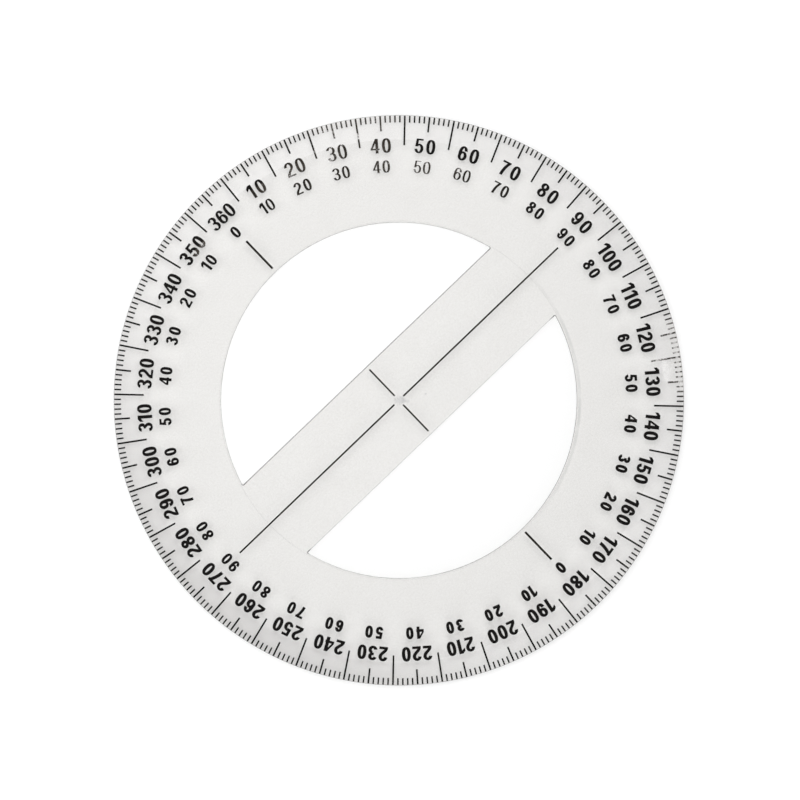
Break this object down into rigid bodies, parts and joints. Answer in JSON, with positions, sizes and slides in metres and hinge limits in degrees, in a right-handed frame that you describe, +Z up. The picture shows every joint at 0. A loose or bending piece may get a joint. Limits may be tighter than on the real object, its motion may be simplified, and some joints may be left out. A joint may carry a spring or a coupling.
{
  "type": "circular protractor",
  "caption": "Full-circle clear plastic protractor with a bevelled rim, degree marks, a bar across the middle and a D-shaped window on each side of it.",
  "frame": {"origin": "centre of the plate, on the plane of its flat back face", "axes": "+Z up out of the printed face; X along the bar with the 90 degree mark at +X; +Y towards the zero mark"},
  "size_m": [0.15, 0.15, 0.002],
  "materials": {
    "clear_plastic": "clear, polished mould finish",
    "black_ink": "printed ink, satin"
  },
  "bodies": {
    "root": {"clear_plate": "clear_plastic", "one_degree_marks": "black_ink", "five_degree_marks": "black_ink", "ten_degree_marks": "black_ink", "diameter_line": "black_ink", "centre_line": "black_ink", "zero_lines": "black_ink"}
  },
  "joints": []
}
